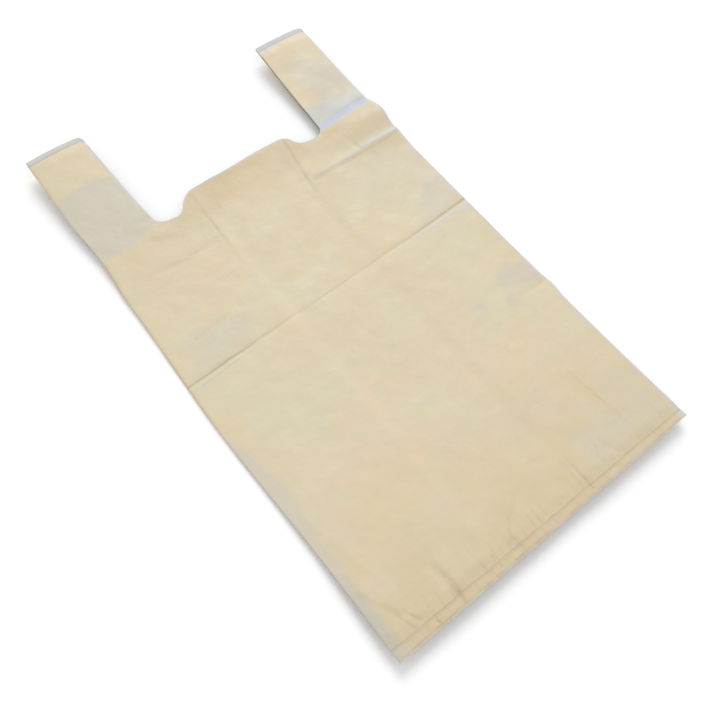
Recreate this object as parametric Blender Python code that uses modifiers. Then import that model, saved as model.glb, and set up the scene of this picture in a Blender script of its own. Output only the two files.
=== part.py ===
"""Plastic carrier bag of the vest type, empty and lying flat on its back panel.

Row frame: X across the bag, +Y from the bottom edge to the handles, +Z up.
The origin is under the middle of the bag, on the surface it lies on.
Metres throughout. The film is drawn thicker than the real one.
"""

import math

import bmesh
import bpy
from mathutils import Vector

# Film tube, pressed flat with both sides tucked in
BAG_WIDTH = 0.305
BAG_LENGTH = 0.533
GUSSET_DEPTH = 0.100
FILM = 0.0002
AIR_BETWEEN_PLIES = 0.0006
FOLD_STEPS = 3

# Between the tucked sides the front panel sinks towards the back panel
PANEL_SINK = 0.0009
SINK_RUN = 0.018

# Vest cut: the mouth and the two handles
MOUTH_LEVEL = 0.4285
DIP_DEPTH = 0.018
DIP_RADIUS = 0.013
DIP_FLAT = 0.005
MOUTH_CORNER_RADIUS = 0.012
HANDLE_BASE_WIDTH = 0.0600
HANDLE_TIP_WIDTH = 0.0550
ARC_STEPS = 7
CUT_OVERRUN = 0.010

# Heat seals
BASE_SEAL_INSET = 0.0100
TIP_SEAL_INSET = 0.0045
SEAL_WIDTH = 0.0012
SEAL_PROUD = 0.00005

# Lie of the bag: flat in its middle, both ends curling up
REST_FROM = 0.185
REST_TO = 0.318
BASE_RISE = 0.008
HANDLE_RISE = 0.012
RISE_POWER = 1.4

# Creases across the bag, left by the way it was packed
MIDDLE_CREASE_LEVEL = 0.271
MIDDLE_CREASE_SLANT = 0.027
MIDDLE_CREASE_PINCH = 0.55
NECK_CREASE_LEVEL = 0.378
NECK_CREASE_HEIGHT = 0.0014
NECK_HUMP_LEVEL = 0.404
NECK_HUMP_HEIGHT = 0.0050
NECK_HUMP_RUN = 0.022
SIDE_CREASE_LEVEL = 0.167
SIDE_CREASE_LENGTH = 0.045
SIDE_CREASE_PINCH = 0.35
CREASE_RUN = 0.009

# Puckers in the film beside the base seal and the handle seals
SEAL_PINCH = 0.55
SEAL_PINCH_RUN = 0.016
PUCKER_HEIGHT = 0.0009
PUCKER_PITCH = 0.061
PUCKER_REACH = 0.035
HANDLE_ARCH = 0.0018

# Places where a side fold lies off the straight: side, level, reach along the bag, way out
SIDE_WAVES = (
    (-1, 0.220, 0.140, 0.0034),
    (-1, 0.408, 0.050, -0.0025),
    (1, 0.404, 0.024, 0.0036),
    (1, 0.161, 0.016, 0.0020),
)
BASE_CUT_SKEW = 0.0030

# Mesh stations
COLUMN_PITCH = 0.017
ROW_PITCH = 0.021

FILM_COLOUR = (0.730, 0.631, 0.445, 1.0)
FILM_ROUGHNESS = 0.42

PLY_PITCH = FILM + AIR_BETWEEN_PLIES
FOLD_RADIUS = PLY_PITCH / 2
FOLD_CENTRE_X = BAG_WIDTH / 2 - FILM / 2 - FOLD_RADIUS
TUCK_X = BAG_WIDTH / 2 - GUSSET_DEPTH
STACK_TOP = FILM + 3 * PLY_PITCH


def clear_scene():
    for thing in list(bpy.data.objects):
        bpy.data.objects.remove(thing, do_unlink=True)


def new_collection(name):
    collection = bpy.data.collections.new(name)
    bpy.context.scene.collection.children.link(collection)
    return collection


def film_material():
    material = bpy.data.materials.new("cream_film")
    material.use_nodes = True
    shader = material.node_tree.nodes["Principled BSDF"]
    shader.inputs["Base Color"].default_value = FILM_COLOUR
    shader.inputs["Roughness"].default_value = FILM_ROUGHNESS
    shader.inputs["Metallic"].default_value = 0.0
    return material


def spread(start, end, pitch):
    """Evenly spaced stations from start to end, both included, no further apart than pitch."""
    count = max(1, math.ceil(abs(end - start) / pitch - 1e-6))
    return [start + (end - start) * i / count for i in range(count + 1)]


def smooth(t):
    t = min(1.0, max(0.0, t))
    return t * t * (3 - 2 * t)


def tent(distance, run):
    """One on the crease line, falling straight to nothing at the run's end."""
    return max(0.0, 1 - abs(distance) / run)


def ply_level(ply):
    """Height of a ply's middle: 0 is the back panel, 1 and 2 the tucked side, 3 the front panel."""
    return FILM / 2 + ply * PLY_PITCH


def front_level(x):
    """The front panel lies on the tucked sides and sinks between them."""
    return ply_level(3) - PANEL_SINK * smooth((TUCK_X - abs(x)) / SINK_RUN)


def fold_arc(centre_x, centre_z, side, start_up):
    """Half turn of film between two plies, bulging to the given side."""
    turn = [math.pi * i / FOLD_STEPS for i in range(1, FOLD_STEPS)]
    points = [(centre_x + side * FOLD_RADIUS * math.sin(a), centre_z + FOLD_RADIUS * math.cos(a))
              for a in turn]
    return points if start_up else points[::-1]


def half_section():
    """Right half of the flattened tube, from the front panel's middle round to the back panel's."""
    across_middle = spread(0.0, TUCK_X, COLUMN_PITCH)
    across_tuck = spread(TUCK_X, FOLD_CENTRE_X, COLUMN_PITCH)
    panel = across_middle + across_tuck[1:]
    gusset = [TUCK_X + FOLD_RADIUS] + across_tuck[1:]

    points = [(x, front_level(x)) for x in panel]
    points += fold_arc(FOLD_CENTRE_X, (ply_level(3) + ply_level(2)) / 2, 1, True)
    points += [(x, ply_level(2)) for x in reversed(gusset)]
    points += fold_arc(TUCK_X + FOLD_RADIUS, (ply_level(2) + ply_level(1)) / 2, -1, True)
    points += [(x, ply_level(1)) for x in gusset]
    points += fold_arc(FOLD_CENTRE_X, (ply_level(1) + ply_level(0)) / 2, 1, True)
    points += [(x, ply_level(0)) for x in reversed(panel)]
    return points


def whole_section():
    right = half_section()
    left = [(-x, z) for x, z in reversed(right[1:-1])]
    return right + left


def rows():
    """Stations along the bag: its ends, seals and creases, and even steps between them."""
    fixed = [0.0, BASE_SEAL_INSET, BASE_SEAL_INSET + SEAL_PINCH_RUN,
             BAG_LENGTH - TIP_SEAL_INSET - SEAL_PINCH_RUN, BAG_LENGTH - TIP_SEAL_INSET, BAG_LENGTH]
    for level in (SIDE_CREASE_LEVEL, MIDDLE_CREASE_LEVEL, NECK_CREASE_LEVEL):
        fixed += [level - CREASE_RUN, level, level + CREASE_RUN]
    fixed += [NECK_HUMP_LEVEL, NECK_HUMP_LEVEL + NECK_HUMP_RUN]
    fixed.sort()
    stations = [fixed[0]]
    for start, end in zip(fixed, fixed[1:]):
        if end - start > FILM:
            stations += spread(start, end, ROW_PITCH)[1:]
    return stations


def slant(x, y):
    """The middle crease and the cut at the base run a little askew, and the rows with them."""
    reach = min(y, BAG_LENGTH - y) / min(MIDDLE_CREASE_LEVEL, BAG_LENGTH - MIDDLE_CREASE_LEVEL)
    below_seal = max(0.0, 1 - y / BASE_SEAL_INSET)
    return MIDDLE_CREASE_SLANT * x * min(1.0, reach) + BASE_CUT_SKEW * below_seal * (x / BAG_WIDTH + 0.5)


def sideways(x, y):
    """How far a tucked side has slid out, nothing at its inner fold and all of it at the side fold."""
    shift = 0.0
    for side, level, reach, out in SIDE_WAVES:
        share = max(0.0, (side * x - TUCK_X) / GUSSET_DEPTH)
        shift += side * out * share * smooth(tent(y - level, reach))
    return shift


def air_left(x, y):
    """Share of the air between the plies that creases and seals leave in."""
    air = 1 - MIDDLE_CREASE_PINCH * tent(y - MIDDLE_CREASE_LEVEL, CREASE_RUN)
    beside_edge = smooth((x - BAG_WIDTH / 2 + SIDE_CREASE_LENGTH) / SIDE_CREASE_LENGTH)
    air -= SIDE_CREASE_PINCH * beside_edge * tent(y - SIDE_CREASE_LEVEL, CREASE_RUN)
    air -= SEAL_PINCH * tent(y - BASE_SEAL_INSET, SEAL_PINCH_RUN)
    air -= SEAL_PINCH * tent(y - BAG_LENGTH + TIP_SEAL_INSET, SEAL_PINCH_RUN)
    return air


def lift(x, y):
    """Height of the bag's underside over the surface it lies on."""
    past_rest = max(0.0, y - REST_TO) / (BAG_LENGTH - REST_TO)
    before_rest = max(0.0, REST_FROM - y) / REST_FROM
    height = HANDLE_RISE * past_rest ** RISE_POWER + BASE_RISE * before_rest ** RISE_POWER

    on_tuck = smooth((x - TUCK_X) / SINK_RUN)
    height += NECK_CREASE_HEIGHT * on_tuck * tent(y - NECK_CREASE_LEVEL, CREASE_RUN)
    towards_side = smooth((x - TUCK_X) / (BAG_WIDTH / 2 - TUCK_X))
    height += NECK_HUMP_HEIGHT * towards_side * smooth(tent(y - NECK_HUMP_LEVEL, NECK_HUMP_RUN))

    from_base_seal = abs(y - BASE_SEAL_INSET)
    wave = math.sin(2 * math.pi * x / PUCKER_PITCH) + math.sin(1.7 * math.pi * x / PUCKER_PITCH)
    height += PUCKER_HEIGHT * before_rest * wave * math.exp(-from_base_seal / PUCKER_REACH)

    handle_middle = BAG_WIDTH / 2 - HANDLE_BASE_WIDTH / 2
    off_middle = (abs(x) - handle_middle) / (HANDLE_BASE_WIDTH / 2)
    height += HANDLE_ARCH * past_rest ** 2 * max(0.0, 1 - off_middle ** 2)
    return height


def film_tube(collection, material):
    """The flattened tube as an open skin, given its thickness by Solidify."""
    section = whole_section()
    stations = rows()
    mesh = bpy.data.meshes.new("carrier_bag")
    bm = bmesh.new()
    ring = [bm.verts.new((x, 0.0, z)) for x, z in section]
    edges = [bm.edges.new((a, b)) for a, b in zip(ring, ring[1:] + ring[:1])]
    for before, after in zip(stations, stations[1:]):
        grown = bmesh.ops.extrude_edge_only(bm, edges=edges)["geom"]
        edges = [part for part in grown if isinstance(part, bmesh.types.BMEdge)]
        moved = [part for part in grown if isinstance(part, bmesh.types.BMVert)]
        bmesh.ops.translate(bm, verts=moved, vec=(0.0, after - before, 0.0))
    for vert in bm.verts:
        x, y, z = vert.co
        vert.co.z = FILM / 2 + (z - FILM / 2) * air_left(x, y)
        vert.co.y = y + slant(x, y)
    bmesh.ops.recalc_face_normals(bm, faces=bm.faces)
    bm.to_mesh(mesh)
    bm.free()
    mesh.materials.append(material)
    tube = bpy.data.objects.new("carrier_bag", mesh)
    collection.objects.link(tube)
    skin = tube.modifiers.new("film", "SOLIDIFY")
    skin.thickness = FILM
    skin.offset = 0.0
    skin.use_even_offset = True
    return tube


def arc(centre, radius, start, end):
    """Points along an arc from one angle to another, both included."""
    angles = [start + (end - start) * i / ARC_STEPS for i in range(ARC_STEPS + 1)]
    return [(centre.x + radius * math.cos(a), centre.y + radius * math.sin(a)) for a in angles]


def neck_outline():
    """Right half of the piece punched out between the handles, from the mouth to past the tips."""
    dip = Vector((BAG_WIDTH / 2 - HANDLE_BASE_WIDTH - DIP_RADIUS,
                  MOUTH_LEVEL - DIP_DEPTH + DIP_RADIUS))
    inner_dip = dip - Vector((DIP_FLAT, 0))
    reach = DIP_RADIUS + MOUTH_CORNER_RADIUS
    drop = reach - DIP_DEPTH
    corner = Vector((inner_dip.x - math.sqrt(reach ** 2 - drop ** 2),
                     MOUTH_LEVEL - MOUTH_CORNER_RADIUS))
    join = math.atan2(inner_dip.y - corner.y, inner_dip.x - corner.x)

    tip = Vector((BAG_WIDTH / 2 - HANDLE_TIP_WIDTH, BAG_LENGTH))
    to_tip = tip - dip
    edge_angle = math.atan2(to_tip.y, to_tip.x) - math.acos(DIP_RADIUS / to_tip.length)
    touch = dip + DIP_RADIUS * Vector((math.cos(edge_angle), math.sin(edge_angle)))
    overrun = tip + (tip - touch).normalized() * CUT_OVERRUN

    points = arc(corner, MOUTH_CORNER_RADIUS, math.pi / 2, join)
    points += arc(inner_dip, DIP_RADIUS, join + math.pi, 1.5 * math.pi)[1:]
    points += arc(dip, DIP_RADIUS, 1.5 * math.pi, 2 * math.pi + edge_angle)
    points.append(tuple(overrun))
    return points


def neck_cutter(collection):
    """The punched-out piece as a straight-sided block that passes through every ply."""
    right = neck_outline()
    outline = right + [(-x, y) for x, y in reversed(right)]
    curve = bpy.data.curves.new("neck_outline", "CURVE")
    curve.dimensions = "2D"
    curve.fill_mode = "BOTH"
    curve.extrude = STACK_TOP + CUT_OVERRUN
    spline = curve.splines.new("POLY")
    spline.points.add(len(outline) - 1)
    for point, (x, y) in zip(spline.points, outline):
        point.co = (x, y, 0.0, 1.0)
    spline.use_cyclic_u = True
    return as_mesh_cutter(curve, "neck_cutter", collection)


def as_mesh_cutter(curve, name, collection):
    guide = bpy.data.objects.new(name + "_curve", curve)
    collection.objects.link(guide)
    bpy.context.view_layer.update()
    evaluated = guide.evaluated_get(bpy.context.evaluated_depsgraph_get())
    mesh = bpy.data.meshes.new_from_object(evaluated)
    bm = bmesh.new()
    bm.from_mesh(mesh)
    bmesh.ops.remove_doubles(bm, verts=bm.verts, dist=FILM / 10)
    bmesh.ops.recalc_face_normals(bm, faces=bm.faces)
    bm.to_mesh(mesh)
    bm.free()
    cutter = bpy.data.objects.new(name, mesh)
    cutter.matrix_world = guide.matrix_world
    collection.objects.link(cutter)
    bpy.data.objects.remove(guide)
    hide_guide(cutter)
    return cutter


def hide_guide(thing):
    thing.hide_render = True
    thing.display_type = "WIRE"


def seal_bar(name, x_from, x_to, y, collection):
    """Film melted together across all plies, as a bar from the back panel to the front panel."""
    stations = spread(x_from, x_to, COLUMN_PITCH)
    bpy.ops.mesh.primitive_cube_add(size=1.0)
    bar = bpy.context.object
    bar.name = name
    for owner in list(bar.users_collection):
        owner.objects.unlink(bar)
    collection.objects.link(bar)
    bm = bmesh.new()
    bm.from_mesh(bar.data)
    long_edges = [e for e in bm.edges if abs(e.verts[0].co.x - e.verts[1].co.x) > 0.5]
    bmesh.ops.subdivide_edges(bm, edges=long_edges, cuts=len(stations) - 2, use_grid_fill=True)
    for vert in bm.verts:
        x = x_from + (vert.co.x + 0.5) * (x_to - x_from)
        side = y + vert.co.y * SEAL_WIDTH
        top = FILM / 2 + (front_level(x) - FILM / 2) * air_left(x, y) + FILM / 2 + SEAL_PROUD
        vert.co = (x, side + slant(x, y), top if vert.co.z > 0 else -SEAL_PROUD)
    bm.to_mesh(bar.data)
    bm.free()
    hide_guide(bar)
    return bar


def seal_bars(collection):
    side = BAG_WIDTH / 2 - FILM - FOLD_RADIUS
    handle_in = BAG_WIDTH / 2 - HANDLE_TIP_WIDTH - CUT_OVERRUN
    tip_level = BAG_LENGTH - TIP_SEAL_INSET
    return [seal_bar("base_seal", -side, side, BASE_SEAL_INSET, collection),
            seal_bar("right_tip_seal", handle_in, side, tip_level, collection),
            seal_bar("left_tip_seal", -side, -handle_in, tip_level, collection)]


def boolean(target, tool, operation):
    step = target.modifiers.new(tool.name, "BOOLEAN")
    step.operation = operation
    step.solver = "EXACT"
    step.object = tool


def drape(target):
    """Bake the steps so far, then set every point at its height over the surface."""
    bpy.context.view_layer.update()
    evaluated = target.evaluated_get(bpy.context.evaluated_depsgraph_get())
    mesh = bpy.data.meshes.new_from_object(evaluated)
    target.modifiers.clear()
    target.data = mesh
    for vert in mesh.vertices:
        x, y, z = vert.co
        vert.co = (x + sideways(x, y), y, z + lift(x, y))
    across = [vert.co.x for vert in mesh.vertices]
    along = [vert.co.y for vert in mesh.vertices]
    middle = Vector(((min(across) + max(across)) / 2, (min(along) + max(along)) / 2, 0.0))
    for vert in mesh.vertices:
        vert.co -= middle
    mesh.shade_smooth()
    mesh.set_sharp_from_angle(angle=math.radians(40))


clear_scene()
bag_parts = new_collection("plastic_carrier_bag")
cutters = new_collection("cutters")
bag = film_tube(bag_parts, film_material())
for bar in seal_bars(cutters):
    boolean(bag, bar, "UNION")
boolean(bag, neck_cutter(cutters), "DIFFERENCE")
drape(bag)
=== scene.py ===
"""Empty vest-type carrier bag of thin cream film, lying on a white table.

x runs across the bag, y from the base to the handles, z up from the table, in metres.
"""

import math

import bpy
import numpy as np
from mathutils import Matrix, Vector


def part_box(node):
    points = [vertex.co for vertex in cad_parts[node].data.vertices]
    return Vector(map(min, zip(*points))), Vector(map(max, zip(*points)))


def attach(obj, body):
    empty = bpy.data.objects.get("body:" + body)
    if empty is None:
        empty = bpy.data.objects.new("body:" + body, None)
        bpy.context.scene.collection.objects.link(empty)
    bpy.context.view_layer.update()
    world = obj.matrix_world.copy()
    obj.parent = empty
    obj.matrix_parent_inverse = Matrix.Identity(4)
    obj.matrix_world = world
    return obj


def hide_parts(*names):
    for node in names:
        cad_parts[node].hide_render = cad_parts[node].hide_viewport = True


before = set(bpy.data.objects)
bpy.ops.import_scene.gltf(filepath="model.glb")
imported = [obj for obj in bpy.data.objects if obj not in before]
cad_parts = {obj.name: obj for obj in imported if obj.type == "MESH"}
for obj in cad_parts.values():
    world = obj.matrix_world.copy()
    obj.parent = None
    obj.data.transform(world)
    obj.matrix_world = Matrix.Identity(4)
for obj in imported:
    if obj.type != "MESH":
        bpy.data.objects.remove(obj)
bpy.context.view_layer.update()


# Camera
# A short tele view down on the bag from beyond its left base corner, turned a little about
# its own axis.

def look_from(target, azimuth, elevation, roll, distance):
    a = math.radians(azimuth)
    e = math.radians(elevation)
    r = math.radians(roll)
    back = Vector((math.sin(a) * math.cos(e), -math.cos(a) * math.cos(e), math.sin(e)))
    level = Vector((0, 0, 1)).cross(back).normalized()
    upright = back.cross(level)
    right = level * math.cos(r) + upright * math.sin(r)
    up = upright * math.cos(r) - level * math.sin(r)
    place = Matrix((right, up, back)).transposed().to_4x4()
    place.translation = target + back * distance
    return place


view_target = Vector((-0.0272, -0.0627, 0.0))
camera_data = bpy.data.cameras.new("camera")
camera_data.lens = 39.5
camera_data.sensor_width = 36.0
camera = bpy.data.objects.new("camera", camera_data)
camera.matrix_world = look_from(view_target, azimuth=-44.6, elevation=63.5, roll=7.2, distance=0.6573)
bpy.context.scene.collection.objects.link(camera)
bpy.context.scene.camera = camera


# Film tube
# Blown high-density film, a seamless tube pressed flat with both sides tucked in: four plies
# at the sides, two in the middle. The plies are spaced apart as in the frame's solid.

bottom_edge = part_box("carrier_bag")[0][1]
bag_length = 0.533
half_width = 0.1525
tuck_depth = 0.100
tuck_x = half_width - tuck_depth
ply_pitch = 0.0008
film_middle = 0.0001
fold_radius = ply_pitch / 2
fold_x = half_width - film_middle - fold_radius
fold_steps = 4


def stations(start, end, pitch, lines, close, reach):
    """Stations from start to end, a pitch apart, and closer together near the given lines."""
    found = [start]
    while found[-1] < end:
        here = found[-1]
        share = min(1.0, min(abs(here - line) for line in lines) / reach)
        found.append(here + close + (pitch - close) * share)
    stretch = (end - start) / (found[-1] - start)
    return [start + (value - start) * stretch for value in found]


def half_turn(x, ply, side):
    """Points of a fold from one ply to the one below, bulging to the given side."""
    turns = [math.pi * i / fold_steps for i in range(1, fold_steps)]
    return [(x + side * fold_radius * math.sin(t), ply - 0.5 + 0.5 * math.cos(t)) for t in turns]


def tube_section():
    """The flattened tube's section, as pairs of place across and ply, once round."""
    inner_fold = tuck_x + fold_radius
    front = stations(0.0, fold_x, pitch=0.0016, lines=[tuck_x, fold_x], close=0.0008, reach=0.004)
    back = stations(0.0, fold_x, pitch=0.0050, lines=[tuck_x, fold_x], close=0.0020, reach=0.006)
    hidden = stations(inner_fold, fold_x, pitch=0.0080, lines=[tuck_x, fold_x], close=0.0020, reach=0.008)
    right = [(x, 3.0) for x in front]
    right += half_turn(fold_x, 3, 1)
    right += [(x, 2.0) for x in reversed(hidden)]
    right += half_turn(inner_fold, 2, -1)
    right += [(x, 1.0) for x in hidden]
    right += half_turn(fold_x, 1, 1)
    right += [(x, 0.0) for x in reversed(back)]
    left = [(-x, ply) for x, ply in reversed(right[1:-1])]
    return np.array(right + left)


# Heights of the seals, the creases and the mouth over the bag's bottom edge
base_seal = 0.0100
tip_seal = bag_length - 0.0045
side_crease = 0.167
middle_crease = 0.271
middle_slant = 0.027
neck_crease = 0.378
neck_hump = 0.404
mouth = 0.4285

# Rows of points round the tube, closer together at these heights and at the dips beside the mouth
section = tube_section()
dips = mouth - 0.010
lines_across = [0.0, base_seal, side_crease, middle_crease, neck_crease, dips, tip_seal, bag_length]
levels = np.array(stations(0.0, bag_length, pitch=0.0025, lines=lines_across, close=0.0010, reach=0.009))
ring_size = len(section)
flat_x = np.tile(section[:, 0], len(levels))
flat_y = np.repeat(levels, ring_size)
ply = np.tile(section[:, 1], len(levels))


# Vest cut
# One blow of a die through all plies takes out the piece between the handles: a straight
# mouth with rounded corners, a dip beside each handle, and the handles' inner edges.

dip_depth = 0.018
dip_radius = 0.013
handle_base = 0.060
handle_tip = 0.055


def arc(x, y, radius, start, end, steps=18):
    return [(x + radius * math.cos(a), y + radius * math.sin(a)) for a in np.linspace(start, end, steps)]


def half_outline(dip_flat, corner_radius):
    """The cut from the mouth to past a handle's tip, on the right."""
    dip_x = half_width - handle_base - dip_radius
    dip_y = mouth - dip_depth + dip_radius
    reach = dip_radius + corner_radius
    drop = reach - dip_depth
    corner_x = dip_x - dip_flat - math.sqrt(reach ** 2 - drop ** 2)
    corner_y = mouth - corner_radius
    join = math.atan2(dip_y - corner_y, dip_x - dip_flat - corner_x)
    tip_x = half_width - handle_tip
    away = math.hypot(tip_x - dip_x, bag_length - dip_y)
    lean = math.atan2(bag_length - dip_y, tip_x - dip_x) - math.acos(dip_radius / away)
    points = arc(corner_x, corner_y, corner_radius, math.pi / 2, join)
    points += arc(dip_x - dip_flat, dip_y, dip_radius, join + math.pi, 1.5 * math.pi)[1:]
    points += arc(dip_x, dip_y, dip_radius, 1.5 * math.pi, 2 * math.pi + lean)
    past = 1.2
    points.append((points[-1][0] + past * (tip_x - points[-1][0]),
                   points[-1][1] + past * (bag_length - points[-1][1])))
    return points


def die_outline():
    """The whole cut. As the film lies, the mouth's left corner shows rounder than its right one."""
    right = half_outline(dip_flat=0.005, corner_radius=0.012)
    left = half_outline(dip_flat=0.0055, corner_radius=0.024)
    return np.array(right + [(-x, y) for x, y in reversed(left)])


def nearest_on_outline(x, y, outline):
    """Nearest point of the closed outline to each point, and the distance, below 0 inside it."""
    best = np.full(x.shape, np.inf)
    best_x = x.copy()
    best_y = y.copy()
    inside = np.zeros(x.shape, bool)
    for a, b in zip(outline, np.roll(outline, -1, axis=0)):
        run = b - a
        t = np.clip(((x - a[0]) * run[0] + (y - a[1]) * run[1]) / (run @ run), 0, 1)
        on_x = a[0] + t * run[0]
        on_y = a[1] + t * run[1]
        away = np.hypot(x - on_x, y - on_y)
        closer = away < best
        best[closer] = away[closer]
        best_x[closer] = on_x[closer]
        best_y[closer] = on_y[closer]
        if a[1] != b[1]:
            between = (a[1] > y) != (b[1] > y)
            inside ^= between & (x < a[0] + (y - a[1]) * run[0] / run[1])
    return best_x, best_y, np.where(inside, -best, best)


on_x, on_y, from_cut = nearest_on_outline(flat_x, flat_y, die_outline())
index = np.arange(len(flat_x)).reshape(len(levels), ring_size)
edges_along = np.stack([index[:-1].ravel(), index[1:].ravel()], 1)
edges_around = np.stack([index.ravel(), np.roll(index, -1, axis=1).ravel()], 1)
for edges in (edges_along, edges_around):
    first = from_cut[edges[:, 0]]
    second = from_cut[edges[:, 1]]
    nearer = np.where(np.abs(first) < np.abs(second), edges[:, 0], edges[:, 1])[first * second < 0]
    flat_x[nearer] = on_x[nearer]
    flat_y[nearer] = on_y[nearer]
    from_cut[nearer] = 0.0


def faces_left():
    """Quads outside the cut, and the outer half of a quad that has one corner inside it."""
    faces = []
    inside = from_cut < 0
    for row in range(len(levels) - 1):
        for place in range(ring_size):
            after = (place + 1) % ring_size
            quad = [index[row, place], index[row, after], index[row + 1, after], index[row + 1, place]]
            gone = [inside[corner] for corner in quad]
            if not any(gone):
                faces.append(quad)
            elif sum(gone) == 1:
                spot = gone.index(True)
                faces.append([quad[(spot + step) % 4] for step in (1, 2, 3)])
    return faces


faces = faces_left()


# Lie of the film
# The bag was packed folded across. It lies flat in its middle and curls up at both ends, with
# a sharp crease across the middle, one under the right handle and a short one at the side.

def smooth(t):
    t = np.clip(t, 0, 1)
    return t * t * (3 - 2 * t)


def fade_in(value, start, run):
    """Goes smoothly from nothing at start to one a run further on."""
    return smooth((value - start) / run)


def tent(distance, run):
    return np.clip(1 - np.abs(distance) / run, 0, 1)


def sharp(distance, width):
    return np.exp(-np.abs(distance) / width)


def crease(points, width, height):
    """A sharp crease in the film along the given points, over the whole bag."""
    off = np.full_like(flat_x, np.inf)
    for start, end in zip(points, points[1:]):
        run = np.subtract(end, start)
        t = np.clip(((flat_x - start[0]) * run[0] + (flat_y - start[1]) * run[1]) / (run @ run), 0, 1)
        off = np.minimum(off, np.hypot(flat_x - start[0] - t * run[0], flat_y - start[1] - t * run[1]))
    return height * sharp(off, width)


def waves(pitch, seed, count=9):
    """Soft uneven waves of about one pitch, mostly between -1 and 1."""
    draw = np.random.default_rng(seed)
    total = np.zeros_like(flat_x)
    for _ in range(count):
        angle = draw.uniform(0, math.pi)
        turns = 2 * math.pi / (pitch * draw.uniform(0.7, 1.6))
        along = flat_x * math.cos(angle) + flat_y * math.sin(angle)
        total += np.sin(along * turns + draw.uniform(0, 6.28))
    mostly_within = 1.5
    return total / math.sqrt(count) / mostly_within


# Curl of both ends, past the stretch that rests on the table
rest_start = 0.185
rest_end = 0.318
base_curl = 0.008
handle_curl = 0.012
curl_power = 1.4
handle_arch = 0.0018
past_rest = np.clip(flat_y - rest_end, 0, None) / (bag_length - rest_end)
before_rest = np.clip(rest_start - flat_y, 0, None) / rest_start
rise = handle_curl * past_rest ** curl_power + base_curl * before_rest ** curl_power
off_handle = (np.abs(flat_x) - half_width + handle_base / 2) / (handle_base / 2)
rise += handle_arch * past_rest ** 2 * np.clip(1 - off_handle ** 2, 0, 1)

# Neck of the right handle, lifted in a soft hump, with a low ridge along the crease below it
hump_height = 0.0043
hump_reach = 0.023
ridge_height = 0.0003
ridge_height_to_side = 0.0006
ridge_width = 0.0050
ridge_run = 0.012
to_right = fade_in(flat_x, start=tuck_x, run=tuck_depth)
rise += hump_height * to_right * smooth(tent(flat_y - neck_hump, hump_reach))
ridge = (ridge_height + ridge_height_to_side * to_right) * fade_in(flat_x, start=tuck_x, run=ridge_run)
rise += ridge * sharp(flat_y - neck_crease, ridge_width)

# Air between the plies, as a share of what their spacing gives. Creases and seals press it out.
crease_press = 0.20
crease_press_to_side = 0.10
crease_width = 0.0026
side_crease_press = 0.30
side_crease_run = 0.045
side_crease_width = 0.004
seal_press = 0.55
seal_reach = 0.008
hem_opening = 0.30
least_air = 0.25
middle_line = flat_y - middle_crease - middle_slant * flat_x
side_share = fade_in(np.abs(flat_x), start=0.070, run=0.060)
air = 1 - (crease_press + crease_press_to_side * side_share) * sharp(middle_line, crease_width)
below_seal = np.clip(1 - flat_y / base_seal, 0, 1)
hem_press = np.where(flat_y < base_seal, 1 - hem_opening * below_seal, tent(flat_y - base_seal, seal_reach))
air -= seal_press * hem_press
air -= seal_press * tent(flat_y - tip_seal, seal_reach)
at_side = smooth((flat_x - half_width + side_crease_run) / side_crease_run)
air -= side_crease_press * at_side * sharp(flat_y - side_crease, side_crease_width)
air = np.clip(air, least_air, None)

# The front panel sinks where no tuck lies under it
sink_depth = 0.0009
sink_run = 0.014
sink = sink_depth * smooth((tuck_x - np.abs(flat_x)) / sink_run) * np.clip(ply - 2, 0, 1)

# Soft waves all over: height, pitch, seed
wrinkles = np.zeros_like(flat_x)
for wave_height, pitch, seed in [(0.00032, 0.060, 4), (0.00012, 0.021, 7), (0.00003, 0.010, 9)]:
    wrinkles += wave_height * waves(pitch, seed)

# Short bent creases from handling, spread by chance
handling_creases = 110
chance = np.random.default_rng(11)
for _ in range(handling_creases):
    start = (chance.uniform(-0.15, 0.15), chance.uniform(0.02, 0.51))
    angle = chance.normal(0.15, 0.7)
    length = chance.uniform(0.008, 0.045)
    bend = (start[0] + length * math.cos(angle), start[1] + length * math.sin(angle))
    angle += chance.normal(0, 0.5)
    end = (bend[0] + length * math.cos(angle), bend[1] + length * math.sin(angle))
    width = chance.uniform(0.0010, 0.0024)
    lift = chance.uniform(-0.00014, 0.00012)
    wrinkles += crease([start, bend, end], width, lift)

# Creases seen one by one: points, width, height
base_creases = [
    ([(-0.1279, 0.0257), (-0.1219, 0.0141)], 0.0014, -0.00038),
    ([(-0.1346, 0.0266), (-0.1286, 0.0116)], 0.0011, -0.00035),
    ([(-0.1439, 0.0468), (-0.1315, 0.0259)], 0.0026, -0.00045),
    ([(-0.0908, 0.0372), (-0.0881, 0.0224), (-0.0880, 0.0115), (-0.0888, 0.0041)], 0.0024, -0.00060),
    ([(0.0469, 0.0299), (0.0465, 0.0040)], 0.0012, -0.00040),
    ([(-0.0098, 0.0215), (-0.0100, 0.0115)], 0.0009, -0.00035),
    ([(-0.0040, 0.0220), (-0.0046, 0.0115)], 0.0009, -0.00035),
    ([(0.0031, 0.0215), (0.0028, 0.0125)], 0.0009, -0.00030),
    ([(-0.0288, 0.0150), (-0.0282, 0.0020)], 0.0009, -0.00035),
    ([(-0.0510, 0.0150), (-0.0504, 0.0040)], 0.0009, -0.00035),
    ([(-0.0095, 0.0355), (-0.0233, 0.0275), (-0.0361, 0.0117)], 0.0014, -0.00035),
    ([(0.1045, 0.0870), (0.1054, 0.0726), (0.1095, 0.0300)], 0.0014, 0.00035),
    ([(0.0736, 0.0305), (0.0681, 0.0220)], 0.0012, -0.00022),
    ([(0.0800, 0.0267), (0.0859, 0.0148)], 0.0012, -0.00022),
    ([(-0.1452, 0.1270), (-0.1346, 0.0857), (-0.1246, 0.0399)], 0.0020, 0.00025),
]
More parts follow.
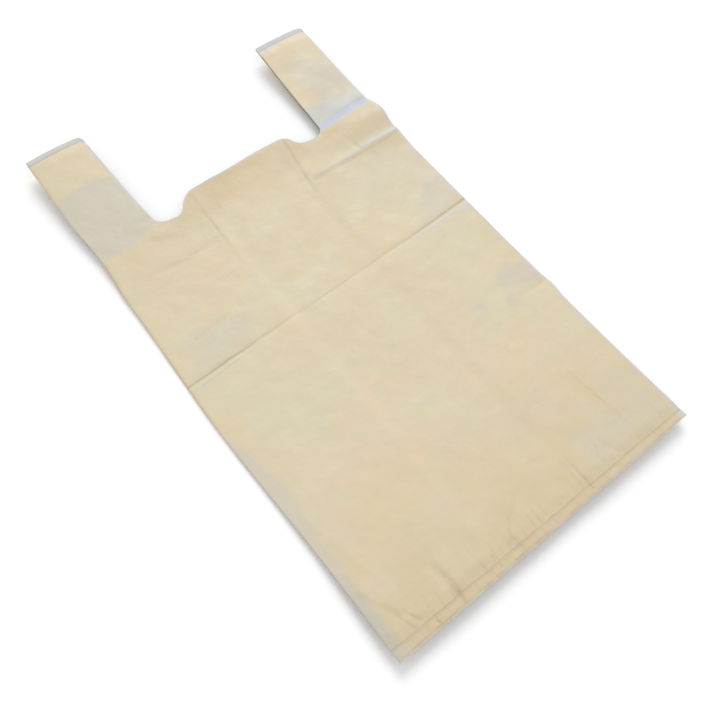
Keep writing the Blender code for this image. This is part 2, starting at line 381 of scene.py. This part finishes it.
shoulder_creases = [
    ([(-0.1050, 0.4023), (-0.0817, 0.3910)], 0.0026, -0.00045),
    ([(-0.1306, 0.3930), (-0.1234, 0.3807)], 0.0018, -0.00025),
    ([(-0.1180, 0.3722), (-0.0904, 0.3697), (-0.0565, 0.3700)], 0.0020, -0.00035),
    ([(-0.1244, 0.2992), (-0.1077, 0.3021), (-0.0941, 0.3016)], 0.0016, -0.00030),
    ([(-0.1316, 0.2765), (-0.1170, 0.2736)], 0.0014, -0.00020),
    ([(-0.0503, 0.4285), (-0.0506, 0.3800)], 0.0016, -0.00034),
    ([(-0.0506, 0.3800), (-0.0520, 0.3377)], 0.0016, -0.00016),
    ([(0.0555, 0.4285), (0.0475, 0.3770), (0.0460, 0.3620)], 0.0018, -0.00034),
    ([(0.1038, 0.3973), (0.1108, 0.3763)], 0.0020, -0.00036),
    ([(0.1230, 0.4976), (0.1379, 0.4926), (0.1416, 0.4759), (0.1390, 0.4512)], 0.0018, 0.00025),
    ([(0.1172, 0.4796), (0.1303, 0.4725), (0.1348, 0.4571), (0.1394, 0.4387)], 0.0018, -0.00025),
    ([(0.1108, 0.4660), (0.1215, 0.4600), (0.1262, 0.4480)], 0.0018, 0.00018),
    ([(0.0690, 0.4240), (0.0980, 0.4060)], 0.0022, -0.00020),
]
for points, width, lift in base_creases + shoulder_creases:
    wrinkles += crease(points, width, lift)

# Gathers that the heat seals draw into the film, spread by chance
base_gathers = 80
base_gather_width = 0.0009
base_gather_start = base_seal - 0.003
for _ in range(base_gathers):
    place = chance.uniform(-0.15, 0.15)
    length = chance.uniform(0.003, 0.016)
    end = (place + chance.normal(0, 0.25) * length, base_seal + length)
    lift = chance.uniform(-0.00022, 0.00018)
    wrinkles += crease([(place, base_gather_start), end], base_gather_width, lift)
tip_gathers = 10
tip_gather_width = 0.0010
tip_gather_start = tip_seal + 0.002
for side in (-1, 1):
    for _ in range(tip_gathers):
        place = side * chance.uniform(0.100, 0.150)
        length = chance.uniform(0.004, 0.016)
        end = (place + chance.normal(0, 0.3) * length, tip_seal - length)
        lift = chance.uniform(-0.0002, 0.0002)
        wrinkles += crease([(place, tip_gather_start), end], tip_gather_width, lift)

# The lower plies follow the wrinkles only where the bag is clear of the table, and the front
# panel parts from the others at the mouth
top_ply = 3
clear_rise = 0.003
mouth_parting = 0.0008
parting_reach = 0.012
loose = ply / top_ply + (1 - ply / top_ply) * smooth(rise / clear_rise)
parted = mouth_parting * smooth(ply - 2) * sharp(flat_y - mouth, parting_reach) * (1 + waves(0.05, 21))
height = film_middle + (ply * ply_pitch - sink) * air + rise + loose * wrinkles + np.clip(parted, 0, None)

# Places where a side fold lies off the straight: side, level, reach along the bag, way out
side_waves = [
    (-1, 0.220, 0.140, 0.0034),
    (-1, 0.408, 0.050, -0.0025),
    (1, 0.404, 0.024, 0.0036),
    (1, 0.161, 0.016, 0.0016),
    (1, 0.185, 0.130, 0.0020),
    (1, 0.315, 0.110, 0.0019),
    (1, 0.374, 0.026, 0.0016),
]
place_x = flat_x.copy()
for side, level, reach, out in side_waves:
    share = np.clip((side * flat_x - tuck_x) / tuck_depth, 0, None)
    place_x += side * out * share * smooth(tent(flat_y - level, reach))
base_skew = 0.0030
askew = base_skew * np.clip(1 - flat_y / base_seal, 0, 1) * (flat_x / (2 * half_width) + 0.5)
place_y = flat_y + bottom_edge + askew

# Where the cut edge at the mouth lies off the die's line: place, reach, way along the bag
mouth_shifts = [
    ((-0.083, 0.4110), (0.014, 0.030), 0.0015),
    ((0.026, 0.4285), (0.045, 0.060), 0.0026),
    ((0.072, 0.4120), (0.024, 0.030), 0.0026),
]
for (x, y), (reach_x, reach_y), along in mouth_shifts:
    place_y += along * (smooth(tent(flat_x - x, reach_x)) * smooth(tent(flat_y - y, reach_y)))

# Two corners of the tips are rounded: the left handle's inner one, and the right handle's
# outer one in its two upper plies
tip_radius = 0.005
near_tip = np.clip(1 - (bag_length - flat_y) / (3 * tip_radius), 0, 1)
inner_corner = np.where(flat_x < 0, -flat_x - half_width + handle_tip, 1.0)
outer_corner = np.where((flat_x > 0) & (ply > 1.5), half_width - flat_x, 1.0)
for away in (inner_corner, outer_corner):
    left_over = np.clip(1 - away / tip_radius, 0, 1)
    place_y -= tip_radius * (1 - np.sqrt(1 - left_over ** 2)) * near_tip


# Colour of the film
# Cream pigment, blown into the film. Where the plies part, and along edges and tips, the film shows paler and
# greyer, because less of it lies on top of itself. Some marks are painted light and shade: lit bands beside
# two creases, a highlight and a shaded crest at the right handle's neck, gleaming rims, and shade along the
# folds, the left side and the bottom edge.

def patch(corners, blur):
    """One inside a convex patch given by its corners in order, nothing outside, softly between."""
    share = np.ones_like(flat_x)
    around = sum(corners[i][0] * corners[i - 1][1] - corners[i - 1][0] * corners[i][1]
                 for i in range(len(corners)))
    turn = -1 if around > 0 else 1
    for (x0, y0), (x1, y1) in zip(corners, corners[1:] + corners[:1]):
        run = math.hypot(x1 - x0, y1 - y0)
        off = turn * ((flat_y - y0) * (x1 - x0) - (flat_x - x0) * (y1 - y0)) / run
        share *= smooth(off / blur + 0.5)
    return share


# Places where the film shows another tone, painted light and shade among them, by tone: corners, blur and
# strength of each
toned_places = {
    "warm_grey_and_shade": [
        ([(-0.170, 0.4770), (-0.116, 0.4855), (-0.088, 0.4765), (-0.088, 0.4175), (-0.119, 0.4060),
          (-0.170, 0.4060)], 0.005, 1.0),
        ([(0.106, 0.506), (0.139, 0.496), (0.170, 0.470), (0.170, 0.436), (0.112, 0.440)], 0.012, 0.74),
        ([(0.096, 0.2745), (0.170, 0.2800), (0.140, 0.322)], 0.008, 0.65),
        # Painted shade on the crest of the hump under the right handle, toning down its lit slope
        ([(0.104, 0.4150), (0.170, 0.4170), (0.170, 0.4040), (0.104, 0.4030)], 0.009, 0.20),
        ([(0.114, 0.185), (0.121, 0.200), (0.136, 0.200), (0.170, 0.180), (0.170, 0.166),
          (0.135, 0.174)], 0.007, 0.95),
        ([(0.078, 0.187), (0.094, 0.183), (0.087, 0.172)], 0.008, 0.8),
        ([(0.106, 0.161), (0.110, 0.178), (0.119, 0.176), (0.115, 0.162)], 0.007, 0.8),
        ([(-0.128, 0.304), (-0.075, 0.300), (-0.085, 0.272), (-0.140, 0.268)], 0.020, 0.55),
        ([(0.060, 0.045), (0.120, 0.042), (0.110, 0.014), (0.060, 0.014)], 0.022, 0.62),
        ([(0.112, 0.075), (0.150, 0.070), (0.146, 0.014), (0.112, 0.014)], 0.024, 0.50),
        ([(0.040, 0.372), (0.152, 0.378), (0.152, 0.330), (0.120, 0.300)], 0.030, 0.30),
    ],
    "cool_grey_and_light": [
        ([(0.088, 0.4445), (0.120, 0.4430), (0.170, 0.4330), (0.170, 0.4180), (0.088, 0.4150)], 0.008, 0.9),
        ([(0.170, 0.050), (0.1520, 0.045), (0.1450, -0.010), (0.170, -0.010)], 0.003, 1.0),
        ([(0.085, 0.531), (0.146, 0.531), (0.140, 0.5275), (0.100, 0.5235), (0.085, 0.5230)], 0.004, 0.70),
    ],
    # Painted highlight: a blue-grey gleam on the far slope of the hump under the right handle
    "gleam": [
        ([(0.090, 0.4236), (0.170, 0.4284), (0.170, 0.4193), (0.090, 0.4158)], 0.004, 1.0),
    ],
    "warm_tan_and_shade": [
        ([(-0.10, 0.45), (0.09, 0.45), (0.09, 0.400), (-0.10, 0.392)], 0.030, 0.75),
        # Painted shade below the crease under the right handle
        ([(0.100, 0.3745), (0.156, 0.3760), (0.150, 0.358)], 0.010, 0.75),
        # Painted shade on the crest of the hump under the right handle, toning down its lit slope
        ([(0.085, 0.4160), (0.170, 0.4190), (0.170, 0.4050), (0.085, 0.4030)], 0.008, 1.0),
    ],
}
tones = {tone: np.zeros_like(flat_x) for tone in toned_places}


def add_tone(tone, share):
    tones[tone] = np.maximum(tones[tone], share)


for tone, places in toned_places.items():
    for corners, blur, strength in places:
        add_tone(tone, strength * patch(corners, blur))

# Greyer strip at the left side, along the side fold, with painted shade in its lower part
strip_levels = [0.0, 0.05, 0.10, 0.16, 0.19, 0.22]
strip_starts = [0.139, 0.1405, 0.1400, 0.1345, 0.140, 0.149]
strip_blur = 0.008
strip_end = 0.228
strip_fade = 0.030
strip_strength = 0.85
shade_end = 0.100
shade_fade = 0.060
strip_start = np.interp(flat_y, strip_levels, strip_starts)
left_strip = smooth((-flat_x - strip_start) / strip_blur) * smooth((strip_end - flat_y) / strip_fade)
add_tone("warm_grey_and_shade", strip_strength * left_strip)
# Painted shade: the strip goes darker grey in its lower part, towards the base
tones["left_side_shade"] = left_strip * smooth((shade_end - flat_y) / shade_fade)

# Painted light: a pale band on the lit side of the crease under the right handle, wider towards the side fold
band_blur = 0.002
band_width = 0.0005
band_widening = 0.0065
band_strength = 0.58
band_top = neck_crease + band_width + band_widening * fade_in(flat_x, start=0.070, run=0.080)
above_crease = smooth((flat_y - neck_crease + band_blur) / band_blur + 0.5)
neck_painted_light = smooth((band_top - flat_y) / band_blur + 0.5) * above_crease
add_tone("cool_grey_and_light", band_strength * neck_painted_light * fade_in(flat_x, start=0.046, run=0.010))

# Painted light: a pale band on the lit side below the crease across the middle, strongest on the right
side_strength = 0.20
right_strength = 0.35
middle_painted_light = fade_in(middle_line, start=-0.0075, run=0.003) * fade_in(-middle_line, start=0.0005, run=0.0015)
middle_strength = right_strength * fade_in(flat_x, start=0.080, run=0.02) + side_strength * side_share
add_tone("cool_grey_and_light", middle_painted_light * middle_strength)

# Warmer towards the base, and painted shade along the left side fold, which faces away from the light
base_tan = 0.60
base_tan_end = 0.150
base_tan_fade = 0.120
side_shade = 0.9
side_shade_width = 0.0032
side_shade_blur = 0.0030
side_shade_start = 0.215
side_shade_fade = 0.020
add_tone("warm_tan_and_shade", base_tan * smooth((base_tan_end - flat_y) / base_tan_fade))
shaded_side = smooth((-flat_x - half_width + side_shade_width) / side_shade_blur)
add_tone("warm_tan_and_shade", side_shade * (shaded_side * smooth((flat_y - side_shade_start) / side_shade_fade)))

# Paler rims, partly painted highlight: the cut edges that face the light gleam wider than the others, and the
# right side fold, which faces the light, has a pale painted rim that the left one lacks.
rim_blur = 0.0010
plain_rim = 0.0009
mouth_corner_rim = 0.0015
left_handle_rim = 0.0030
right_handle_share = 0.3
side_rim_width = 0.0034
side_rim_blur = 0.0022
rim_width = np.where((flat_x < 0) & (flat_y > mouth - 0.012), mouth_corner_rim, plain_rim)
rim_width = np.where((flat_x < 0) & (flat_y > mouth + 0.002), left_handle_rim, rim_width)
right_handle = (flat_x > half_width - handle_base - dip_radius) & (flat_y > mouth)
cut_rim = smooth((rim_width - from_cut) / rim_blur + 0.5) * np.where(right_handle, right_handle_share, 1.0)
side_rim = smooth((flat_x - half_width + side_rim_width) / side_rim_blur)
tones["rim"] = np.maximum(cut_rim, side_rim)


def make_film():
    points = np.stack([place_x, place_y, height], 1)
    used = np.unique(np.concatenate([np.array(face) for face in faces]))
    renumbered = np.full(len(points), -1)
    renumbered[used] = np.arange(len(used))
    mesh = bpy.data.meshes.new("bag_film")
    mesh.from_pydata(points[used].tolist(), [], [[int(renumbered[c]) for c in face] for face in faces])
    mesh.update()
    mesh.shade_smooth()
    for name, values in tones.items():
        mark = mesh.attributes.new(name, "FLOAT", "POINT")
        mark.data.foreach_set("value", values[used])
    flat = mesh.uv_layers.new(name="flat")
    corners = np.array([loop.vertex_index for loop in mesh.loops])
    flat.data.foreach_set("uv", np.stack([flat_x[used], flat_y[used]], 1)[corners].ravel())
    return bpy.data.objects.new("bag_film", mesh)


film = make_film()
bpy.context.scene.collection.objects.link(film)


class FilmShader:
    """Adds shader nodes and joins them, in the flattened film's own coordinates."""

    def __init__(self, name):
        self.material = bpy.data.materials.new(name)
        self.material.use_nodes = True
        self.tree = self.material.node_tree
        self.surface = self.tree.nodes["Principled BSDF"]
        uv = self.tree.nodes.new("ShaderNodeUVMap")
        uv.uv_map = "flat"
        self.flat = uv.outputs[0]

    def put(self, socket, value):
        if isinstance(value, bpy.types.NodeSocket):
            self.tree.links.new(value, socket)
        else:
            socket.default_value = value

    def math(self, operation, first, second=0.0):
        node = self.tree.nodes.new("ShaderNodeMath")
        node.operation = operation
        self.put(node.inputs[0], first)
        self.put(node.inputs[1], second)
        return node.outputs[0]

    def vector(self, operation, first, second):
        node = self.tree.nodes.new("ShaderNodeVectorMath")
        node.operation = operation
        self.put(node.inputs[0], first)
        self.put(node.inputs[1], second)
        return node

    def along(self, axis):
        node = self.tree.nodes.new("ShaderNodeSeparateXYZ")
        self.put(node.inputs[0], self.flat)
        return node.outputs[axis]

    def mark(self, name):
        node = self.tree.nodes.new("ShaderNodeAttribute")
        node.attribute_name = name
        return node.outputs["Fac"]

    def band(self, value, low, high, start=0.0, end=1.0):
        """Goes smoothly from start to end as value goes from low to high."""
        node = self.tree.nodes.new("ShaderNodeMapRange")
        node.interpolation_type = "SMOOTHSTEP"
        for name, number in zip(("From Min", "From Max", "To Min", "To Max"), (low, high, start, end)):
            node.inputs[name].default_value = number
        self.put(node.inputs["Value"], value)
        return node.outputs["Result"]

    def noise(self, scale, stretch=(1, 1, 1), detail=3.0):
        spread = self.vector("MULTIPLY", self.flat, stretch)
        node = self.tree.nodes.new("ShaderNodeTexNoise")
        node.inputs["Scale"].default_value = scale
        node.inputs["Detail"].default_value = detail
        self.put(node.inputs["Vector"], spread.outputs[0])
        return node.outputs[0]

    def shifted(self, amount, scale):
        """The flat film's coordinates, moved about unevenly by the given amount."""
        node = self.tree.nodes.new("ShaderNodeTexNoise")
        node.inputs["Scale"].default_value = scale
        self.put(node.inputs["Vector"], self.flat)
        shift = self.vector("SUBTRACT", node.outputs[1], (0.5, 0.5, 0.5)).outputs[0]
        shift = self.vector("MULTIPLY", shift, (2 * amount, 2 * amount, 0)).outputs[0]
        return self.vector("ADD", self.flat, shift).outputs[0]

    def line(self, start, end, width, place):
        """One on the straight line from start to end, nothing a width away from it."""
        run = Vector((end[0] - start[0], end[1] - start[1], 0))
        unit = run.normalized()
        away = self.vector("SUBTRACT", place, (start[0], start[1], 0)).outputs[0]
        reach = self.vector("DOT_PRODUCT", away, tuple(unit)).outputs["Value"]
        reach = self.math("MINIMUM", self.math("MAXIMUM", reach, 0.0), run.length)
        foot = self.tree.nodes.new("ShaderNodeVectorMath")
        foot.operation = "SCALE"
        foot.inputs[0].default_value = tuple(unit)
        self.put(foot.inputs["Scale"], reach)
        off = self.vector("DISTANCE", away, foot.outputs[0]).outputs["Value"]
        return self.band(off, 0.0, width, 1.0, 0.0)

    def mix(self, share, strength, under, over):
        """Lays one colour over another. Sockets 6 and 7 and output 2 are the node's colours."""
        node = self.tree.nodes.new("ShaderNodeMix")
        node.data_type = "RGBA"
        self.put(node.inputs["Factor"], self.math("MULTIPLY", share, strength))
        self.put(node.inputs[6], under)
        self.put(node.inputs[7], over)
        return node.outputs[2]


# Darker lines along the seals, and painted shade along the folds and creases: points, width, strength along
# it
crease_shade_and_seal_lines = [
    ([(-0.156, base_seal), (0.156, base_seal)], 0.0010, [0.70]),
    ([(-0.156, base_seal - 0.0016), (0.156, base_seal - 0.0016)], 0.0008, [0.35]),
    ([(-0.154, 0.2655), (-0.100, 0.2678), (-0.086, 0.2684), (-0.072, 0.2688), (0.074, 0.2732),
      (0.087, 0.2736), (0.100, 0.2742), (0.154, 0.2775)], 0.0021, [0.80, 0.62, 0.44, 0.32, 0.44, 0.60, 0.76]),
    ([(-0.142, 0.2605), (-0.092, 0.2632)], 0.0010, [0.30]),
    ([(0.054, 0.3750), (0.088, 0.3745), (0.124, 0.3745), (0.154, 0.3762)], 0.0034, [0.28, 0.38, 0.32]),
    ([(0.0555, 0.4290), (0.0520, 0.4040), (0.0480, 0.3790), (0.0462, 0.3640)], 0.0026, [0.34, 0.44, 0.20]),
    ([(-0.0503, 0.4290), (-0.0503, 0.4060), (-0.0500, 0.3814), (-0.0510, 0.3600), (-0.0525, 0.3377)], 0.0028,
     [0.16, 0.36, 0.26, 0.12]),
    ([(0.1038, 0.3973), (0.1072, 0.3870), (0.1108, 0.3763)], 0.0024, [0.08, 0.22]),
    ([(-0.0940, 0.0420), (-0.0908, 0.0372), (-0.0894, 0.0297), (-0.0881, 0.0224), (-0.0880, 0.0115)], 0.0056,
     [0.10, 0.22, 0.34, 0.42]),
    ([(-0.0880, 0.0115), (-0.0888, 0.0030)], 0.0026, [0.50]),
    ([(0.0475, 0.0400), (0.0469, 0.0299), (0.0467, 0.0180), (0.0465, 0.0060)], 0.0017, [0.15, 0.38, 0.50]),
    ([(-0.1279, 0.0257), (-0.1250, 0.0200), (-0.1219, 0.0141)], 0.0022, [0.26, 0.44]),
    ([(-0.1346, 0.0266), (-0.1315, 0.0190), (-0.1286, 0.0116)], 0.0020, [0.20, 0.38]),
    ([(-0.1460, 0.0540), (-0.1400, 0.0395), (-0.1315, 0.0259)], 0.0044, [0.16, 0.28]),
    ([(-0.1127, 0.0061), (-0.1118, 0.0010)], 0.0020, [0.60]),
    ([(0.1040, 0.0920), (0.1054, 0.0726), (0.1075, 0.0500), (0.1095, 0.0360)], 0.0018, [0.14, 0.22, 0.14]),
    ([(-0.0096, 0.0235), (-0.0098, 0.0180), (-0.0100, 0.0115)], 0.0014, [0.18, 0.34]),
    ([(-0.0036, 0.0240), (-0.0041, 0.0180), (-0.0046, 0.0115)], 0.0014, [0.18, 0.34]),
    ([(0.0032, 0.0220), (0.0028, 0.0140)], 0.0014, [0.22]),
    ([(-0.0292, 0.0170), (-0.0288, 0.0110), (-0.0282, 0.0040)], 0.0015, [0.28, 0.45]),
    ([(-0.0513, 0.0170), (-0.0510, 0.0110), (-0.0504, 0.0050)], 0.0015, [0.25, 0.42]),
    ([(-0.0620, 0.0180), (-0.0616, 0.0110)], 0.0015, [0.25]),
    ([(-0.0060, 0.0420), (-0.0095, 0.0355), (-0.0233, 0.0275), (-0.0361, 0.0117)], 0.0024,
     [0.10, 0.16, 0.22]),
    ([(0.0736, 0.0305), (0.0681, 0.0220)], 0.0020, [0.16]),
    ([(0.0800, 0.0267), (0.0859, 0.0148)], 0.0020, [0.16]),
    ([(-0.1100, 0.4045), (-0.1050, 0.4023), (-0.0817, 0.3910)], 0.0060, [0.10, 0.16]),
    ([(-0.1220, 0.3726), (-0.1120, 0.3718), (-0.0904, 0.3697), (-0.0700, 0.3698), (-0.0565, 0.3700)], 0.0036,
     [0.08, 0.15, 0.15, 0.08]),
    ([(-0.1244, 0.2992), (-0.1077, 0.3021), (-0.0941, 0.3016)], 0.0030, [0.16, 0.16]),
]


def film_material():
    n = FilmShader("cream_film")
    cream = (0.670, 0.552, 0.366, 1)
    light_cream = (0.638, 0.578, 0.412, 1)
    peach = (0.688, 0.536, 0.346, 1)
    green_grey = (0.578, 0.550, 0.405, 1)
    warm_tan_and_shade_film = (0.600, 0.480, 0.290, 1)
    warm_grey_and_shade_film = (0.582, 0.528, 0.418, 1)
    left_side_shade_film = (0.520, 0.475, 0.372, 1)
    cool_grey_and_light_film = (0.548, 0.552, 0.510, 1)
    rim_film = (0.575, 0.560, 0.528, 1)
    painted_highlight_blue = (0.472, 0.500, 0.582, 1)
    tip_film = (0.595, 0.600, 0.600, 1)
    seal_grey = (0.400, 0.405, 0.400, 1)
    hem_film = (0.560, 0.460, 0.300, 1)
    shade_and_seal_tan = (0.420, 0.330, 0.190, 1)

    # Clouds and flecks of the pigment: fineness, detail, where they start and are full, strength, tone
    clouds = [
        (13.0, 4.0, 0.38, 0.66, 0.75, light_cream),
        (22.0, 5.0, 0.50, 0.72, 0.45, peach),
        (48.0, 5.0, 0.50, 0.75, 0.40, green_grey),
        (150.0, 4.0, 0.45, 0.70, 0.22, green_grey),
    ]
    colour = cream
    for fineness, detail, low, high, strength, tone in clouds:
        colour = n.mix(n.band(n.noise(fineness, detail=detail), low, high), strength, colour, tone)
    streaks = n.band(n.noise(260.0, stretch=(1, 0.02, 1), detail=2.0), low=0.35, high=0.75)
    colour = n.mix(streaks, 0.08, colour, green_grey)

    # Tones of the places marked on the film, painted light and shade among them, and of the hem below the
    # base seal
    tan_share = n.band(n.noise(30.0, detail=4.0), low=0.30, high=0.60, start=0.45, end=1.0)
    colour = n.mix(n.mark("warm_tan_and_shade"), tan_share, colour, warm_tan_and_shade_film)
    hem = n.band(n.along("Y"), low=base_seal - 0.0010, high=base_seal, start=1.0, end=0.0)
    colour = n.mix(hem, 0.60, colour, hem_film)
    colour = n.mix(n.mark("warm_grey_and_shade"), 0.95, colour, warm_grey_and_shade_film)
    colour = n.mix(n.mark("left_side_shade"), 0.90, colour, left_side_shade_film)
    colour = n.mix(n.mark("cool_grey_and_light"), 0.95, colour, cool_grey_and_light_film)
    colour = n.mix(n.mark("gleam"), 0.95, colour, painted_highlight_blue)
    colour = n.mix(n.mark("rim"), 0.85, colour, rim_film)

    # Pale strip past each tip seal, and the pressed line of the seal itself
    tip = n.band(n.along("Y"), low=tip_seal - 0.0010, high=tip_seal + 0.0012)
    tip_share = n.band(n.noise(90.0), low=0.30, high=0.60, start=0.70, end=0.92)
    colour = n.mix(tip, tip_share, colour, tip_film)
    off_seal = n.math("ABSOLUTE", n.math("SUBTRACT", n.along("Y"), tip_seal))
    seal_line = n.band(off_seal, low=0.0, high=0.0014, start=1.0, end=0.0)
    colour = n.mix(seal_line, 0.75, colour, seal_grey)

    # Painted shade in the fine gathers above the base seal, a painted shadow along the bottom edge, and its
    # pale cut
    gather_shade = n.band(n.noise(300.0, stretch=(1, 0.16, 1), detail=3.0), low=0.48, high=0.72)
    gathered = n.band(n.along("Y"), low=base_seal, high=0.042, start=1.0, end=0.0)
    colour = n.mix(n.math("MULTIPLY", gather_shade, gathered), 0.19, colour, shade_and_seal_tan)
    bottom = n.band(n.along("Y"), low=0.0016, high=0.0034, start=1.0, end=0.0)
    bottom_shadow_share = n.band(n.noise(70.0), low=0.35, high=0.65, start=0.15, end=0.60)
    colour = n.mix(bottom, bottom_shadow_share, colour, shade_and_seal_tan)
    cut_edge = n.band(n.along("Y"), low=0.0003, high=0.0011, start=1.0, end=0.0)
    colour = n.mix(cut_edge, 0.60, colour, rim_film)

    # Painted shade of the folds, and the seal lines, a little wavy and of uneven strength
    uneven = n.band(n.noise(55.0, detail=3.0), low=0.25, high=0.65, start=0.45, end=1.0)
    place = n.shifted(amount=0.0012, scale=45.0)
    for points, width, strengths in crease_shade_and_seal_lines:
        dark = 0.0
        for start, end, strength in zip(points, points[1:], strengths):
            dark = n.math("MAXIMUM", n.math("MULTIPLY", n.line(start, end, width, place), strength), dark)
        colour = n.mix(dark, uneven, colour, shade_and_seal_tan)

    n.put(n.surface.inputs["Base Color"], colour)
    satin = n.band(n.noise(40.0), low=0.3, high=0.7, start=0.42, end=0.56)
    n.put(n.surface.inputs["Roughness"], satin)
    n.surface.inputs["Specular IOR Level"].default_value = 0.42

    bump = n.tree.nodes.new("ShaderNodeBump")
    bump.inputs["Strength"].default_value = 0.60
    bump.inputs["Distance"].default_value = 0.0009
    crinkle = n.math("ADD", n.noise(85.0, detail=6.0), n.math("MULTIPLY", streaks, 0.05))
    n.put(bump.inputs["Height"], crinkle)
    n.put(n.surface.inputs["Normal"], bump.outputs[0])
    return n.material


film.data.materials.append(film_material())
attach(film, "root")
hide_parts("carrier_bag")


# Table and light
# A plain white table top, with its surface just under the film. A broad soft sun stands behind
# the bag on its right, and an even sky fills the shadows and shows white behind the table.

gap_under_film = 0.0002


def make_table():
    reach = 6.0
    corners = [(-reach, -reach, 0), (reach, -reach, 0), (reach, reach, 0), (-reach, reach, 0)]
    mesh = bpy.data.meshes.new("table")
    mesh.from_pydata(corners, [], [(0, 1, 2, 3)])
    material = bpy.data.materials.new("white_table")
    material.use_nodes = True
    surface = material.node_tree.nodes["Principled BSDF"]
    surface.inputs["Base Color"].default_value = (0.97, 0.97, 0.97, 1)
    surface.inputs["Roughness"].default_value = 1.0
    surface.inputs["Specular IOR Level"].default_value = 0.0
    mesh.materials.append(material)
    table = bpy.data.objects.new("table", mesh)
    table.location.z = -gap_under_film
    bpy.context.scene.collection.objects.link(table)
    return table


make_table()
sun_data = bpy.data.lights.new("sun", "SUN")
sun_data.energy = 1.45
sun_data.angle = math.radians(32)
sun_data.color = (0.95, 0.975, 1.0)
sun = bpy.data.objects.new("sun", sun_data)
sunbeam = Vector((-0.9, -1.3, -1.3))
sun.rotation_euler = sunbeam.to_track_quat("-Z", "Y").to_euler()
bpy.context.scene.collection.objects.link(sun)
sky = bpy.data.worlds.new("sky")
sky.use_nodes = True
shining = sky.node_tree.nodes["Background"]
shining.inputs["Color"].default_value = (1, 1, 1, 1)
shining.inputs["Strength"].default_value = 0.80
seen = sky.node_tree.nodes.new("ShaderNodeBackground")
seen.inputs["Color"].default_value = (1, 1, 1, 1)
ray = sky.node_tree.nodes.new("ShaderNodeLightPath")
either = sky.node_tree.nodes.new("ShaderNodeMixShader")
sky.node_tree.links.new(ray.outputs["Is Camera Ray"], either.inputs[0])
sky.node_tree.links.new(shining.outputs[0], either.inputs[1])
sky.node_tree.links.new(seen.outputs[0], either.inputs[2])
sky.node_tree.links.new(either.outputs[0], sky.node_tree.nodes["World Output"].inputs["Surface"])
bpy.context.scene.world = sky
bpy.context.scene.view_settings.view_transform = "Standard"
